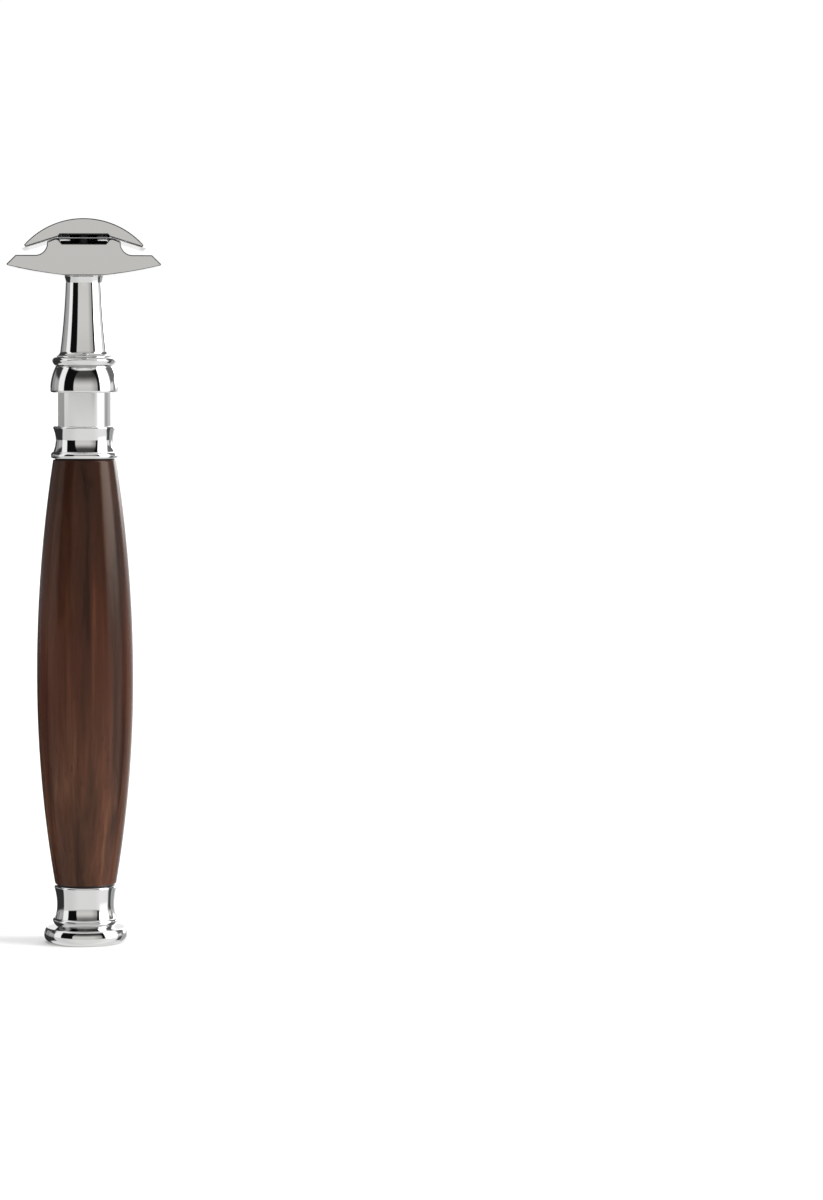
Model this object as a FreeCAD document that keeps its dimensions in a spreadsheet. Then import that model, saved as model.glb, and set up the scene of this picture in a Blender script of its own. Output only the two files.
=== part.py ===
"""Three-piece double-edge safety razor with a barrel-shaped wooden grip.

+Z runs up the handle from the flat of the foot, where the origin is.  The blade and the head lie along Y,
and the two shaving edges face +X and -X.  All sizes are in millimetres.
"""

import FreeCAD, Part
import math
import os
import types
import Sketcher

# The driving dimensions: name and value.  Each one is written once, and everything else follows from them.
SIZES = {
    # foot: a rounded flange under a bead
    "foot_flange_height": 2.7,
    "foot_flange_radius": 7.45,
    "foot_side_height": 1.35,
    "foot_shoulder_radius": 7.2,
    "foot_face_radius": 6.1,
    "foot_neck_radius": 3.2,
    "foot_bead_height": 1.75,
    "foot_bead_radius": 5.9,
    "foot_bead_groove_radius": 4.9,
    "foot_floor": 1.2,
    # ferrule under the grip
    "ferrule_height": 5.85,
    "ferrule_waist_radius": 5.12,
    "ferrule_lip_radius": 5.6,
    "ferrule_spigot_length": 6.0,
    "nut_pocket_radius": 4.2,
    "nut_across_flats": 7.0,
    "nut_height": 2.2,
    "washer_radius": 3.5,
    "washer_height": 0.9,
    "washer_slit": 0.6,
    # seals between wood and metal
    "lower_seal_height": 0.25,
    "upper_seal_height": 0.2,
    "seal_inset": 0.4,
    # wooden grip
    "grip_length": 75.9,
    "grip_radius": 8.58,
    "grip_crest_share": 0.486,
    "grip_lower_radius": 5.5,
    "grip_upper_radius": 5.62,
    "grip_edge_round": 0.25,
    "liner_wall": 0.5,
    "liner_inset": 0.4,
    # rings stacked on the spigot of the neck
    "grip_ring_height": 1.2,
    "grip_ring_radius": 5.98,
    "grip_ring_crest_height": 0.4,
    "spool_height": 4.5,
    "spool_foot_radius": 5.52,
    "spool_waist_radius": 5.12,
    "spool_waist_height": 2.1,
    "spool_lip_radius": 5.58,
    "hanger_height": 6.0,
    "hanger_radius": 4.7,
    "bell_height": 4.8,
    "bell_radius": 6.05,
    "bell_top_radius": 5.15,
    "bell_edge_round": 0.35,
    "neck_bead_height": 1.5,
    "neck_bead_radius": 5.68,
    "neck_bead_crest_height": 0.9,
    # tapered neck
    "collar_height": 0.9,
    "collar_radius": 4.88,
    "collar_edge_height": 0.2,
    "neck_length": 13.4,
    "neck_root_radius": 4.24,
    "neck_waist_radius": 3.22,
    "neck_flare_radius": 3.46,
    "neck_flare_height": 1.15,
    "spigot_radius": 3.75,
    "spigot_length": 8.0,
    "tie_rod_radius": 2.0,
    "tie_rod_grip": 7.0,
    # head thread
    "thread_pitch": 0.8,
    "thread_major_radius": 2.46,
    "thread_depth": 0.48,
    "thread_crest": 0.1,
    "thread_radial_gap": 0.12,
    "thread_axial_gap": 0.06,
    "thread_turns": 6.0,
    "stud_thread_length": 9.6,
    "stud_seat_depth": 1.5,
    "mouth_chamfer": 0.4,
    # base plate
    "head_length": 41.4,
    "base_floor_height": 5.46,
    "base_floor_half": 3.78,
    "ridge_half": 4.96,
    "ridge_height": 0.86,
    "ridge_land": 0.56,
    "ridge_land_drop": 0.1,
    "boss_half": 6.35,
    "boss_relief": 0.12,
    "hub_radius": 4.15,
    "hub_blade_gap": 0.1,
    "clamp_slope": 0.31,
    "ledge_height": 3.5,
    "ledge_half": 11.77,
    "cove_radius": 2.05,
    "guard_half": 13.4,
    "guard_height": 1.9,
    "guard_edge_round": 0.22,
    "underside_flat_half": 3.6,
    "underside_sag": 0.16,
    "scallop_radius": 1.15,
    "scallop_depth": 0.32,
    "scallop_pitch": 2.7,
    # blade
    "blade_width": 22.0,
    "blade_length": 42.9,
    "blade_thickness": 0.1,
    "blade_edge_length": 37.4,
    "blade_tab_width": 13.4,
    "blade_ground_width": 0.9,
    "blade_bend_radius": 3.0,
    "blade_gap": 0.03,
    "blade_slot_width": 3.0,
    "blade_slot_half": 16.0,
    # cap
    "cap_half": 10.3,
    "cap_crown_radius": 13.85,
    "cap_edge_height": 0.55,
    "cap_edge_run": 0.18,
    "cap_recess_half": 4.1,
    "cap_recess_run": 0.34,
    "cap_recess_rise": 0.4,
    "head_end_round": 0.2,
    "post_radius": 2.2,
    "post_spread": 11.5,
    "post_seat_depth": 1.1,
    "post_end_gap": 0.35,
    # clearances
    "fit_gap": 0.02,
    "post_gap": 0.15,
    "stud_gap": 0.24,
}


class Size:
    """A length with the spreadsheet formula that gives it, so that sums of sizes stay formulas."""

    def __init__(self, value, formula):
        self.value = value
        self.formula = formula

    def __add__(self, other):
        other = size_of(other)
        return Size(self.value + other.value, f"({self.formula} + {other.formula})")

    def __sub__(self, other):
        other = size_of(other)
        return Size(self.value - other.value, f"({self.formula} - {other.formula})")

    def __mul__(self, other):
        other = size_of(other)
        return Size(self.value * other.value, f"{self.formula} * {other.formula}")

    def __truediv__(self, other):
        other = size_of(other)
        return Size(self.value / other.value, f"{self.formula} / ({other.formula})")

    def __neg__(self):
        return Size(-self.value, f"(0 - {self.formula})")

    __radd__ = __add__
    __rmul__ = __mul__


def size_of(number):
    """A plain number as a Size."""
    return number if isinstance(number, Size) else Size(float(number), f"{float(number):.6f}")


def root(size):
    """The square root of a Size."""
    return Size(math.sqrt(size.value), f"sqrt({size.formula})")


def crest_radius(run, drop):
    """Radius of the arc that starts level and falls by drop over run."""
    return (run * run + drop * drop) / (drop * 2)


def bow_radius(start, end, sag):
    """Radius of the arc from start to end that stands off its chord by sag."""
    across = end[0] - start[0]
    along = end[1] - start[1]
    return ((across * across + along * along) / 4 + sag * sag) / (sag * 2)


doc = FreeCAD.newDocument("safety_razor")
sheet = doc.addObject("Spreadsheet::Sheet", "Sizes")
for row, (name, value) in enumerate(SIZES.items(), start=1):
    sheet.set(f"A{row}", name)
    sheet.set(f"B{row}", str(value))
    sheet.setAlias(f"B{row}", name)
doc.recompute()
s = types.SimpleNamespace(**{name: Size(value, f"Sizes.{name}") for name, value in SIZES.items()})
ZERO = size_of(0)


# ---- corners of an outline ------------------------------------------------------------------------------


def to(x, y):
    """A corner reached by a straight edge."""
    return size_of(x), size_of(y), None, None


def arc_to(x, y, radius, turn):
    """A corner reached by an arc that turns left or right as the outline is followed."""
    return size_of(x), size_of(y), size_of(radius), turn


def mirrored(corners):
    """The same corners on the -X side, in reverse order, for an outline that is symmetric about Y.
    An arc belongs to the corner it arrives at, so it passes to the corner before it."""
    back = []
    arcs = [(corner[2], corner[3]) for corner in corners[1:]] + [(None, None)]
    for corner, (radius, turn) in reversed(list(zip(corners, arcs))):
        back.append((-corner[0], corner[1], radius, turn))
    return back


# ---- sketches and features ------------------------------------------------------------------------------


def origin_plane(body, role):
    """One of a body's own origin planes."""
    return next(f for f in body.Origin.OriginFeatures if f.Role == role)


def new_sketch(body, name, role, lift=None):
    """An empty sketch on one of the body's origin planes, moved along the plane's normal by lift."""
    sketch = body.newObject("Sketcher::SketchObject", name)
    sketch.AttachmentSupport = (origin_plane(body, role), "")
    sketch.MapMode = "FlatFace"
    if lift is not None:
        sketch.AttachmentOffset = FreeCAD.Placement(FreeCAD.Vector(0, 0, lift.value), FreeCAD.Rotation())
        sketch.setExpression("AttachmentOffset.Base.z", lift.formula)
    return sketch


def pin_point(sketch, geometry, point, x, y):
    """Fixes a point of a sketch at x, y by formulas."""
    for kind, axis, size in (("DistanceX", -2, x), ("DistanceY", -1, y)):
        if size is ZERO:
            sketch.addConstraint(Sketcher.Constraint("PointOnObject", geometry, point, axis))
            continue
        index = sketch.addConstraint(Sketcher.Constraint(kind, -1, 1, geometry, point, size.value))
        sketch.setExpression(f"Constraints[{index}]", size.formula)


def add_circle(sketch, x, y, radius):
    """A circle whose centre and radius follow formulas."""
    circle = Part.Circle(FreeCAD.Vector(x.value, y.value, 0), FreeCAD.Vector(0, 0, 1), radius.value)
    index = sketch.addGeometry(circle, False)
    pin_point(sketch, index, 3, x, y)
    constraint = sketch.addConstraint(Sketcher.Constraint("Radius", index, radius.value))
    sketch.setExpression(f"Constraints[{constraint}]", radius.formula)


def add_outline(sketch, corners):
    """A closed outline through the corners.  The first corner is reached from the last."""
    ends = []
    previous = corners[-1]
    for corner in corners:
        start = FreeCAD.Vector(previous[0].value, previous[1].value, 0)
        end = FreeCAD.Vector(corner[0].value, corner[1].value, 0)
        radius, turn = corner[2], corner[3]
        if radius is None:
            index = sketch.addGeometry(Part.LineSegment(start, end), False)
            ends.append((index, 1, 2))
        else:
            chord = end - start
            reach = math.sqrt(max(radius.value**2 - chord.Length**2 / 4, 0.0))
            left = FreeCAD.Vector(-chord.y, chord.x, 0).normalize()
            side = 1 if turn == "left" else -1
            centre = (start + end) / 2 + left * (reach * side)
            first, last = (start, end) if side > 0 else (end, start)
            angles = [math.atan2(p.y - centre.y, p.x - centre.x) for p in (first, last)]
            circle = Part.Circle(centre, FreeCAD.Vector(0, 0, 1), radius.value)
            index = sketch.addGeometry(Part.ArcOfCircle(circle, *angles), False)
            constraint = sketch.addConstraint(Sketcher.Constraint("Radius", index, radius.value))
            sketch.setExpression(f"Constraints[{constraint}]", radius.formula)
            ends.append((index, 1, 2) if side > 0 else (index, 2, 1))
        previous = corner
    for here, after, corner in zip(ends, ends[1:] + ends[:1], corners):
        sketch.addConstraint(Sketcher.Constraint("Coincident", here[0], here[2], after[0], after[1]))
        pin_point(sketch, here[0], here[2], corner[0], corner[1])


def new_body(label, height=None):
    """A body whose origin stands at height above the foot's flat."""
    body = doc.addObject("PartDesign::Body", label)
    body.Label = label
    if height is not None:
        body.Placement.Base.z = height.value
        body.setExpression("Placement.Base.z", height.formula)
    return body


def turned(label, height, corners):
    """A body of revolution about Z from an outline in the XZ plane."""
    body = new_body(label, height)
    sketch = new_sketch(body, f"{label}_outline", "XZ_Plane")
    add_outline(sketch, corners)
    spin = body.newObject("PartDesign::Revolution", f"{label}_turning")
    spin.Profile = sketch
    spin.ReferenceAxis = (sketch, ["V_Axis"])
    spin.Angle = 360
    return body


def extruded(label, height, corners, length):
    """A body extruded both ways along Y from an outline in the XZ plane."""
    body = new_body(label, height)
    sketch = new_sketch(body, f"{label}_outline", "XZ_Plane")
    add_outline(sketch, corners)
    pad = body.newObject("PartDesign::Pad", f"{label}_pad")
    pad.Profile = sketch
    pad.SideType = "Symmetric"
    pad.Length = length.value
    pad.setExpression("Length", length.formula)
    return body


def cut_through(body, name, draw):
    """Pockets a sketch on the XY plane right through the body, both ways."""
    sketch = new_sketch(body, f"{name}_sketch", "XY_Plane")
    draw(sketch)
    pocket = body.newObject("PartDesign::Pocket", name)
    pocket.Profile = sketch
    pocket.SideType = "Two sides"
    pocket.Type = "ThroughAll"
    pocket.Type2 = "ThroughAll"
    checked_cut(body)
    return pocket


def checked_cut(body):
    """Recomputes and stops if the newest feature took nothing off."""
    doc.recompute()
    feature = body.Tip
    if feature.Shape.Volume >= feature.BaseFeature.Shape.Volume - 1e-6:
        raise RuntimeError(f"{feature.Name} cuts nothing")


def cut_blind(body, name, draw, height, depth):
    """Pockets a sketch at height upwards by depth."""
    sketch = new_sketch(body, f"{name}_sketch", "XY_Plane", height)
    draw(sketch)
    pocket = body.newObject("PartDesign::Pocket", name)
    pocket.Profile = sketch
    pocket.Reversed = True
    pocket.Length = depth.value
    pocket.setExpression("Length", depth.formula)
    checked_cut(body)


def round_edges(body, name, wanted, radius):
    """Fillets the edges that wanted() picks from the body's newest shape."""
    doc.recompute()
    base = body.Tip
    names = [f"Edge{n}" for n, edge in enumerate(base.Shape.Edges, start=1) if wanted(edge)]
    fillet = body.newObject("PartDesign::Fillet", name)
    fillet.Base = (base, names)
    fillet.Radius = radius.value
    fillet.setExpression("Radius", radius.formula)


def thread_groove(body, name, corners, start, length):
    """Cuts a right-hand helical groove of the given section from start upwards, one turn per pitch."""
    sketch = new_sketch(body, f"{name}_section", "XZ_Plane")
    add_outline(sketch, [(x, y + start, radius, turn) for x, y, radius, turn in corners])
    helix = body.newObject("PartDesign::SubtractiveHelix", name)
    helix.Profile = sketch
    helix.ReferenceAxis = (sketch, ["V_Axis"])
    helix.Mode = "pitch-height-angle"
    helix.Pitch = s.thread_pitch.value
    helix.setExpression("Pitch", s.thread_pitch.formula)
    helix.Height = length.value
    helix.setExpression("Height", length.formula)
    checked_cut(body)


# ---- heights of the stacked pieces ----------------------------------------------------------------------

foot_bead_z = s.foot_flange_height
ferrule_z = foot_bead_z + s.foot_bead_height
lower_seal_z = ferrule_z + s.ferrule_height
grip_z = lower_seal_z + s.lower_seal_height
upper_seal_z = grip_z + s.grip_length
grip_ring_z = upper_seal_z + s.upper_seal_height
spool_z = grip_ring_z + s.grip_ring_height
hanger_z = spool_z + s.spool_height
bell_z = hanger_z + s.hanger_height
neck_bead_z = bell_z + s.bell_height
neck_z = neck_bead_z + s.neck_bead_height
head_z = neck_z + s.collar_height + s.neck_length

spigot_bore = s.spigot_radius + s.fit_gap
rod_bore = s.tie_rod_radius + s.fit_gap


# ---- foot -----------------------------------------------------------------------------------------------


def make_foot_knob():
    """Rounded flange with a short neck, drilled blind for the tie rod."""
    side_z = s.foot_side_height
    shoulder = (s.foot_shoulder_radius, s.foot_flange_height - 0.25)
    shelf = (s.foot_shoulder_radius - 0.4, s.foot_flange_height)
    neck_top = s.foot_flange_height + s.foot_bead_height
    turned("foot_knob", None, [
        to(ZERO, 0),
        to(s.foot_face_radius, 0),
        arc_to(s.foot_flange_radius, side_z,
               crest_radius(side_z, s.foot_flange_radius - s.foot_face_radius), "left"),
        arc_to(*shoulder, crest_radius(shoulder[1] - side_z, s.foot_flange_radius - shoulder[0]), "left"),
        arc_to(*shelf, bow_radius(shoulder, shelf, size_of(0.07)), "left"),
        to(s.foot_neck_radius, s.foot_flange_height),
        to(s.foot_neck_radius, neck_top),
        to(rod_bore, neck_top),
        to(rod_bore, s.foot_floor),
        to(ZERO, s.foot_floor),
    ])


def make_foot_bead():
    """Bead round the foot's neck, widest near its top edge."""
    crest_z = s.foot_bead_height * 0.74
    crest = (s.foot_bead_radius, crest_z)
    turned("foot_bead", foot_bead_z, [
        to(s.foot_neck_radius + s.fit_gap, 0),
        to(s.foot_bead_groove_radius, 0),
        arc_to(*crest, bow_radius((s.foot_bead_groove_radius, ZERO), crest, size_of(0.16)), "left"),
        arc_to(s.foot_bead_radius - 0.4, s.foot_bead_height, 0.5, "left"),
        to(s.foot_neck_radius + s.fit_gap, s.foot_bead_height),
    ])


# ---- ferrule and its fastening --------------------------------------------------------------------------

nut_face_gap = size_of(0.1)
nut_pocket_depth = nut_face_gap + s.nut_height + s.washer_height


def make_ferrule():
    """Waisted ferrule with a nut pocket below and a spigot that centres the grip's liner above."""
    waist_z = s.ferrule_height * 0.38
    foot_radius = s.ferrule_lip_radius - 0.1
    lip_z = s.ferrule_height - 0.35
    lower_run = waist_z
    upper_run = lip_z - waist_z
    top = s.ferrule_height + s.ferrule_spigot_length
    turned("end_ferrule", ferrule_z, [
        to(s.nut_pocket_radius, 0),
        to(foot_radius, 0),
        arc_to(s.ferrule_waist_radius, waist_z,
               crest_radius(lower_run, foot_radius - s.ferrule_waist_radius), "right"),
        arc_to(s.ferrule_lip_radius, lip_z,
               crest_radius(upper_run, s.ferrule_lip_radius - s.ferrule_waist_radius), "right"),
        arc_to(s.ferrule_lip_radius - 0.3, s.ferrule_height, 0.4, "left"),
        to(s.spigot_radius, s.ferrule_height),
        to(s.spigot_radius, top),
        to(rod_bore, top),
        to(rod_bore, nut_pocket_depth),
        to(s.nut_pocket_radius, nut_pocket_depth),
    ])


def make_nut():
    """Thin hexagon nut on the tie rod."""
    body = new_body("lock_nut", ferrule_z + nut_face_gap)
    half = s.nut_across_flats / 2
    corner = half / math.cos(math.radians(30))
    sketch = new_sketch(body, "lock_nut_hexagon", "XY_Plane")
    add_outline(sketch, [
        to(corner, ZERO), to(corner / 2, half), to(-corner / 2, half),
        to(-corner, ZERO), to(-corner / 2, -half), to(corner / 2, -half),
    ])
    add_circle(sketch, ZERO, ZERO, rod_bore)
    pad = body.newObject("PartDesign::Pad", "lock_nut_pad")
    pad.Profile = sketch
    pad.Length = s.nut_height.value
    pad.setExpression("Length", s.nut_height.formula)


def make_spring_washer():
    """Split spring washer, pressed flat under the nut."""
    body = turned("spring_washer", ferrule_z + nut_pocket_depth - s.washer_height, [
        to(rod_bore + 0.1, 0),
        to(s.washer_radius, 0),
        to(s.washer_radius, s.washer_height),
        to(rod_bore + 0.1, s.washer_height),
    ])
    half = s.washer_slit / 2
    far = s.washer_radius + 1
    cut_through(body, "spring_washer_slit", lambda sketch: add_outline(sketch, [
        to(ZERO, -half), to(far, -half), to(far, half), to(ZERO, half),
    ]))


def make_tie_rod():
    """Steel rod that pulls the neck and the foot together through the grip."""
    start = s.foot_floor + 0.1
    end = grip_ring_z - s.spigot_length + s.tie_rod_grip
    turned("tie_rod", start, [
        to(ZERO, 0),
        to(s.tie_rod_radius - 0.4, 0),
        to(s.tie_rod_radius, 0.4),
        to(s.tie_rod_radius, end - start - 0.4),
        to(s.tie_rod_radius - 0.4, end - start),
        to(ZERO, end - start),
    ])


# ---- grip -----------------------------------------------------------------------------------------------

liner_inner = s.spigot_radius + s.fit_gap
liner_outer = liner_inner + s.liner_wall


def make_grip():
    """Barrel of wood, widest a little below its middle, bored for the liner."""
    crest_z = s.grip_length * s.grip_crest_share
    edge = s.grip_edge_round
    low, high = s.grip_lower_radius, s.grip_upper_radius
    turned("wood_grip", grip_z, [
        to(liner_outer + s.fit_gap, 0),
        to(low - edge, 0),
        arc_to(low, edge, edge, "left"),
        arc_to(s.grip_radius, crest_z, crest_radius(crest_z - edge, s.grip_radius - low), "left"),
        arc_to(high, s.grip_length - edge,
               crest_radius(s.grip_length - edge - crest_z, s.grip_radius - high), "left"),
        arc_to(high - edge, s.grip_length, edge, "left"),
        to(liner_outer + s.fit_gap, s.grip_length),
    ])


def make_liner():
    """Brass tube glued into the wood, over the spigots at both ends."""
    length = s.grip_length - s.liner_inset * 2
    turned("grip_liner", grip_z + s.liner_inset, [
        to(liner_inner, 0), to(liner_outer, 0), to(liner_outer, length), to(liner_inner, length),
    ])


def make_seals():
    """Thin flat seals that keep water out of the wood's end grain."""
    for label, height, thickness, radius in (
        ("lower_seal", lower_seal_z, s.lower_seal_height, s.grip_lower_radius),
        ("upper_seal", upper_seal_z, s.upper_seal_height, s.grip_upper_radius),
    ):
        turned(label, height, [
            to(spigot_bore, 0),
            to(radius - s.seal_inset, 0),
            to(radius - s.seal_inset, thickness),
            to(spigot_bore, thickness),
        ])


# ---- rings on the neck's spigot -------------------------------------------------------------------------


def make_grip_ring():
    """Half-round ring above the wood, widest near its lower edge."""
    low = (s.grip_ring_radius - 0.25, ZERO)
    crest = (s.grip_ring_radius, s.grip_ring_crest_height)
    top = (s.spool_foot_radius, s.grip_ring_height)
    turned("grip_ring", grip_ring_z, [
        to(spigot_bore, 0),
        to(*low),
        arc_to(*crest, bow_radius(low, crest, size_of(0.08)), "left"),
        arc_to(*top, bow_radius(crest, top, size_of(0.16)), "left"),
        to(spigot_bore, s.grip_ring_height),
    ])


def make_spool():
    """Waisted spool between the grip ring and the hanging groove."""
    waist_z = s.spool_waist_height
    lip_z = s.spool_height - 0.3
    low_drop = s.spool_foot_radius - s.spool_waist_radius
    high_drop = s.spool_lip_radius - s.spool_waist_radius
    turned("neck_spool", spool_z, [
        to(spigot_bore, 0),
        to(s.spool_foot_radius, 0),
        arc_to(s.spool_waist_radius, waist_z, crest_radius(waist_z, low_drop), "right"),
        arc_to(s.spool_lip_radius, lip_z, crest_radius(lip_z - waist_z, high_drop), "right"),
        arc_to(s.spool_lip_radius - 0.25, s.spool_height, 0.35, "left"),
        to(spigot_bore, s.spool_height),
    ])


def make_hanger_sleeve():
    """Plain sleeve: the floor of the groove by which the razor hangs in a stand."""
    turned("hanger_sleeve", hanger_z, [
        to(spigot_bore, 0),
        to(s.hanger_radius, 0),
        to(s.hanger_radius, s.hanger_height),
        to(spigot_bore, s.hanger_height),
    ])


def make_bell():
    """Bell that rests on the stand: upright at its rounded lower edge, drawn in to a rounded top edge."""
    edge = s.bell_edge_round
    rise = s.bell_height - edge * 2
    turned("neck_bell", bell_z, [
        to(spigot_bore, 0),
        to(s.bell_radius - edge, 0),
        arc_to(s.bell_radius, edge, edge, "left"),
        arc_to(s.bell_top_radius, edge + rise, crest_radius(rise, s.bell_radius - s.bell_top_radius), "left"),
        arc_to(s.bell_top_radius - edge, s.bell_height, edge * 1.1, "left"),
        to(spigot_bore, s.bell_height),
    ])


def make_neck_bead():
    """Bead between the bell and the tapered neck."""
    foot = (s.neck_bead_radius - 0.5, ZERO)
    crest = (s.neck_bead_radius, s.neck_bead_crest_height)
    top = (s.collar_radius, s.neck_bead_height)
    turned("neck_bead", neck_bead_z, [
        to(spigot_bore, 0),
        to(*foot),
        arc_to(*crest, bow_radius(foot, crest, size_of(0.12)), "left"),
        arc_to(*top, bow_radius(crest, top, size_of(0.16)), "left"),
        to(spigot_bore, s.neck_bead_height),
    ])


# ---- neck -----------------------------------------------------------------------------------------------

thread_minor_radius = s.thread_major_radius - s.thread_depth
ridge_minor = thread_minor_radius + s.thread_radial_gap
ridge_major = s.thread_major_radius + s.thread_radial_gap
FLANK = 2 * math.tan(math.radians(30))
engaged_length = s.thread_pitch * s.thread_turns
neck_thread_length = engaged_length + s.mouth_chamfer * 4


def make_neck():
    """Tapered neck with the head's thread in its top and a long spigot that carries the rings."""
    below = head_z - neck_z
    spigot_end = -(neck_z - grip_ring_z + s.spigot_length)
    rod_end = spigot_end + s.tie_rod_grip + 0.2
    waist = (s.neck_waist_radius, below - s.neck_flare_height)
    flare = (s.neck_flare_radius, below - 0.1)
    collar_edge = (s.collar_radius, s.collar_edge_height)
    root_point = (s.neck_root_radius, s.collar_height)
    bore_end = below - neck_thread_length - s.mouth_chamfer
    body = turned("neck_column", neck_z, [
        to(ZERO, bore_end - ridge_minor / 2),
        to(ZERO, rod_end),
        to(rod_bore, rod_end),
        to(rod_bore, spigot_end),
        to(s.spigot_radius, spigot_end),
        to(s.spigot_radius, ZERO),
        to(s.collar_radius, ZERO),
        to(*collar_edge),
        arc_to(*root_point, bow_radius(collar_edge, root_point, size_of(0.12)), "right"),
        arc_to(*waist, bow_radius(root_point, waist, size_of(0.14)), "right"),
        arc_to(*flare, crest_radius(flare[1] - waist[1], flare[0] - waist[0]), "right"),
        to(s.neck_flare_radius - 0.1, below),
        to(ridge_minor + s.mouth_chamfer * 1.6, below),
        to(ridge_minor, below - s.mouth_chamfer * 1.6),
        to(ridge_minor, bore_end),
    ])
    inside = s.thread_crest + s.thread_axial_gap * 2 + (s.thread_major_radius - ridge_minor) * FLANK
    outside = inside - (ridge_major - ridge_minor) * FLANK
    overlap = 0.15
    mouth = inside + overlap * FLANK
    thread_groove(body, "neck_thread", [
        to(ridge_minor - overlap, -mouth / 2),
        to(ridge_major, -outside / 2),
        to(ridge_major, outside / 2),
        to(ridge_minor - overlap, mouth / 2),
    ], below - neck_thread_length, neck_thread_length + s.thread_pitch)


# ---- base plate -----------------------------------------------------------------------------------------

slope_length = root(s.clamp_slope * s.clamp_slope + 1)
half_turn = (slope_length - 1) / s.clamp_slope
ridge_z = s.base_floor_height + s.ridge_height


def wing_z(x, offset):
    """Height, above the base plate's underside, of a line parallel to the sloping clamp faces at x from the
    middle, raised off the base plate's face by offset."""
    return ridge_z + slope_length * offset - (x - s.ridge_half) * s.clamp_slope


def round_head_ends(body, name):
    """Rounds the whole rim of both end faces of a plate of the head."""
    half_length = s.head_length.value / 2

    def on_end(edge):
        box = edge.BoundBox
        return box.YLength < 1e-3 and abs(abs(box.YMin) - half_length) < 1e-3

    round_edges(body, name, on_end, s.head_end_round)


bend_dip = (s.blade_bend_radius - s.blade_thickness) * (root(half_turn * half_turn + 1) - 1)
blade_lift = s.blade_gap + bend_dip


def post_centres():
    """The two locating posts, either side of the stud along the blade."""
    return s.post_spread, -s.post_spread


def make_base_plate():
    """Base plate with its clamping boss, lather ledges and scalloped guard bars."""
    tip = s.guard_edge_round
    ledge = s.ledge_height
    tip_low = (s.guard_half - tip, s.guard_height - tip)
    flat = (s.underside_flat_half, ZERO)
    right = [
        to(s.underside_flat_half, 0),
        arc_to(*tip_low, bow_radius(flat, tip_low, s.underside_sag), "left"),
        arc_to(s.guard_half - tip, s.guard_height + tip, tip * 1.1, "left"),
        to(s.ledge_half, ledge),
        to(s.boss_half + s.cove_radius, ledge),
        arc_to(s.boss_half, ledge + s.cove_radius, s.cove_radius, "right"),
        to(s.boss_half, wing_z(s.boss_half, ZERO) - s.boss_relief),
        to(s.ridge_half, ridge_z),
        to(s.ridge_half - s.ridge_land, ridge_z - s.ridge_land_drop),
        to(s.base_floor_half, s.base_floor_height),
    ]
    body = extruded("base_plate", head_z, right + mirrored(right), s.head_length)
    round_head_ends(body, "base_plate_ends")
    add_hub(body)

    def draw_holes(sketch):
        add_circle(sketch, ZERO, ZERO, s.thread_major_radius + s.stud_gap)
        for y in post_centres():
            add_circle(sketch, ZERO, y, s.post_radius + s.post_gap)

    cut_through(body, "base_plate_holes", draw_holes)
    cut_scallops(body)


def add_hub(body):
    """A low round seat about the stud's hole, just under the flat of the blade."""
    sketch = new_sketch(body, "base_plate_hub_sketch", "XY_Plane", s.base_floor_height - 0.5)
    add_circle(sketch, ZERO, ZERO, s.hub_radius)
    pad = body.newObject("PartDesign::Pad", "base_plate_hub")
    pad.Profile = sketch
    height = ridge_z + s.blade_gap - s.hub_blade_gap - s.base_floor_height + 0.5
    pad.Length = height.value
    pad.setExpression("Length", height.formula)


def cut_scallops(body):
    """A row of shallow flutes across the bevel of each guard bar."""
    low = (s.guard_half - s.guard_edge_round, s.guard_height + s.guard_edge_round)
    high = (s.ledge_half, s.ledge_height)
    run, rise = low[0] - high[0], high[1] - low[1]
    bevel = root(run * run + rise * rise)
    count = int((s.head_length.value - s.scallop_pitch.value) // s.scallop_pitch.value)
    count -= 1 - count % 2
    away = s.scallop_radius - s.scallop_depth
    reach = 1.0
    row = s.scallop_pitch * (count - 1)
    # the flute's axis runs down the bevel, standing off it by less than its radius
    start_x = high[0] - run / bevel * reach + rise / bevel * away
    start_z = high[1] + rise / bevel * reach + run / bevel * away
    tilt = 90 + math.degrees(math.atan2(rise.value, run.value))
    flute = body.newObject("PartDesign::SubtractiveCylinder", "scallop")
    flute.AttachmentSupport = (origin_plane(body, "XY_Plane"), "")
    flute.MapMode = "ObjectXY"
    turn = FreeCAD.Rotation(FreeCAD.Vector(0, 1, 0), tilt)
    corner = FreeCAD.Vector(start_x.value, -row.value / 2, start_z.value)
    flute.AttachmentOffset = FreeCAD.Placement(corner, turn)
    flute.setExpression("AttachmentOffset.Base.x", start_x.formula)
    flute.setExpression("AttachmentOffset.Base.y", (-row / 2).formula)
    flute.setExpression("AttachmentOffset.Base.z", start_z.formula)
    flute.Radius = s.scallop_radius.value
    flute.setExpression("Radius", s.scallop_radius.formula)
    length = bevel + reach * 2
    flute.Height = length.value
    flute.setExpression("Height", length.formula)
    checked_cut(body)
    pattern = body.newObject("PartDesign::MultiTransform", "scallops")
    pattern.Originals = [flute]
    line = body.newObject("PartDesign::LinearPattern", "scallop_row")
    line.Direction = (origin_plane(body, "Y_Axis"), [""])
    line.Length = row.value
    line.setExpression("Length", row.formula)
    line.Occurrences = count
    other_side = body.newObject("PartDesign::Mirrored", "scallop_mirror")
    other_side.MirrorPlane = (origin_plane(body, "YZ_Plane"), [""])
    pattern.Transformations = [line, other_side]
    body.Tip = pattern
    checked_cut(body)


# ---- blade ----------------------------------------------------------------------------------------------


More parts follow.
